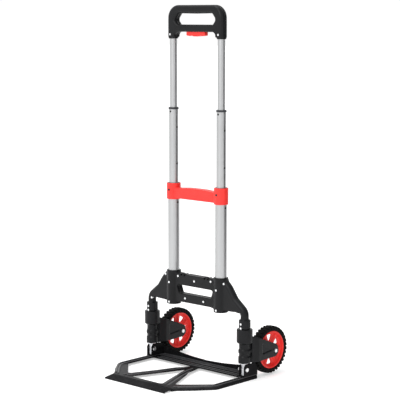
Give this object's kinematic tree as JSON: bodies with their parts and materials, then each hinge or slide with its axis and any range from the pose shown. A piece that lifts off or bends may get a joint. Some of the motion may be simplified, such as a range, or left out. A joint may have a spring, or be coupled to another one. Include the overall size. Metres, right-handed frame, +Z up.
{
  "type": "folding hand truck",
  "caption": "Folding two-wheel hand truck: telescopic aluminium handle, moulded base frame, swivelling wheel forks and a hinged pressed-steel toe plate.",
  "frame": {"origin": "on the floor, under the centre of the whole truck's box", "axes": "+Z up, -Y towards the load side and the toe plate's nose, +X to the right seen from the load side's back"},
  "size_m": [0.4042, 0.4088, 1],
  "materials": {
    "tube_aluminium": "satin anodised",
    "red_plastic": "semi-gloss moulded",
    "tyre": "matt treaded rubber",
    "black_steel": "black powder coat",
    "zinc_steel": "zinc plated",
    "leg_steel": "black steel tube",
    "guide_plastic": "matt acetal",
    "fastener_steel": "bright zinc",
    "spring_steel": "spring wire",
    "black_plastic": "fine-grained moulded"
  },
  "bodies": {
    "frame": {"base_frame_front": "black_plastic", "base_frame_rear": "black_plastic", "base_frame_screws": "fastener_steel", "brace_screws": "fastener_steel", "cross_brace": "red_plastic", "hinge_bar_left": "zinc_steel", "hinge_bar_right": "zinc_steel", "hinge_bolt_left": "fastener_steel", "hinge_bolt_right": "fastener_steel", "hinge_nut_left": "fastener_steel", "hinge_nut_right": "fastener_steel", "leg_tube_left": "leg_steel", "leg_tube_right": "leg_steel", "lower_guide_left": "guide_plastic", "lower_guide_right": "guide_plastic", "lower_tube_left": "tube_aluminium", "lower_tube_right": "tube_aluminium"},
    "middle_stage": {"middle_collar_left": "guide_plastic", "middle_collar_right": "guide_plastic", "middle_plug_left": "guide_plastic", "middle_plug_right": "guide_plastic", "middle_tube_left": "tube_aluminium", "middle_tube_right": "tube_aluminium"},
    "upper_stage": {"button_springs": "spring_steel", "handle_front": "black_plastic", "handle_rear": "black_plastic", "handle_screws": "fastener_steel", "upper_plug_left": "guide_plastic", "upper_plug_right": "guide_plastic", "upper_tube_left": "tube_aluminium", "upper_tube_right": "tube_aluminium"},
    "button": {"release_button": "red_plastic", "pull_bar": "guide_plastic", "pull_rods": "fastener_steel"},
    "toe": {"toe_plate": "black_steel", "hinge_rail": "black_steel", "toe_rivets": "black_steel"},
    "fork_left": {"fork_left": "black_plastic", "axle_bolt_left": "fastener_steel", "axle_nut_left": "fastener_steel"},
    "wheel_left": {"wheel_rim_left": "red_plastic", "tyre_left": "tyre", "hub_bushes_left": "guide_plastic"},
    "upper_lock_left": {"upper_lock_pin_left": "fastener_steel"},
    "middle_lock_left": {"middle_lock_pin_left": "fastener_steel"},
    "fork_right": {"fork_right": "black_plastic", "axle_bolt_right": "fastener_steel", "axle_nut_right": "fastener_steel"},
    "wheel_right": {"wheel_rim_right": "red_plastic", "tyre_right": "tyre", "hub_bushes_right": "guide_plastic"},
    "upper_lock_right": {"upper_lock_pin_right": "fastener_steel"},
    "middle_lock_right": {"middle_lock_pin_right": "fastener_steel"}
  },
  "joints": [
    {"name": "middle_slide", "type": "slide", "parent": "frame", "child": "middle_stage", "axis": [0, 0, -1], "range_m": [0, 0.185]},
    {"name": "upper_slide", "type": "slide", "parent": "middle_stage", "child": "upper_stage", "axis": [0, 0, -1], "range_m": [0, 0.183]},
    {"name": "button_press", "type": "slide", "parent": "upper_stage", "child": "button", "axis": [0, 0, 1], "range_m": [0, 0.0045], "stiffness_N_per_m": 1500, "springref_m": -0.002, "deforming": ["button_springs"]},
    {"name": "toe_fold", "type": "hinge", "parent": "frame", "child": "toe", "pos_m": [0, 0.0366, 0.031], "axis": [-1, 0, 0], "range_deg": [0, 90]},
    {"name": "fork_turn_left", "type": "hinge", "parent": "frame", "child": "fork_left", "pos_m": [-0.1745, 0.0406, 0.1], "axis": [0, 0, -1], "range_deg": [0, 90]},
    {"name": "wheel_spin_left", "type": "hinge", "parent": "fork_left", "child": "wheel_left", "pos_m": [-0.1745, 0.1394, 0.0685], "axis": [1, 0, 0], "continuous": true},
    {"name": "upper_lock_left", "type": "slide", "parent": "upper_stage", "child": "upper_lock_left", "axis": [0, -1, 0], "range_m": [0, 0.0013]},
    {"name": "middle_lock_left", "type": "slide", "parent": "middle_stage", "child": "middle_lock_left", "axis": [0, -1, 0], "range_m": [0, 0.0012], "stiffness_N_per_m": 1500, "springref_m": -0.001},
    {"name": "fork_turn_right", "type": "hinge", "parent": "frame", "child": "fork_right", "pos_m": [0.1745, 0.0406, 0.1], "axis": [0, 0, 1], "range_deg": [0, 90]},
    {"name": "wheel_spin_right", "type": "hinge", "parent": "fork_right", "child": "wheel_right", "pos_m": [0.1745, 0.1394, 0.0685], "axis": [1, 0, 0], "continuous": true},
    {"name": "upper_lock_right", "type": "slide", "parent": "upper_stage", "child": "upper_lock_right", "axis": [0, -1, 0], "range_m": [0, 0.0013]},
    {"name": "middle_lock_right", "type": "slide", "parent": "middle_stage", "child": "middle_lock_right", "axis": [0, -1, 0], "range_m": [0, 0.0012], "stiffness_N_per_m": 1500, "springref_m": -0.001}
  ],
  "couplings": [
    {"joint": "fork_turn_left", "follows": "toe_fold", "ratio": 1},
    {"joint": "upper_lock_left", "follows": "button_press", "ratio": 0.2667},
    {"joint": "fork_turn_right", "follows": "toe_fold", "ratio": 1},
    {"joint": "upper_lock_right", "follows": "button_press", "ratio": 0.2667}
  ]
}
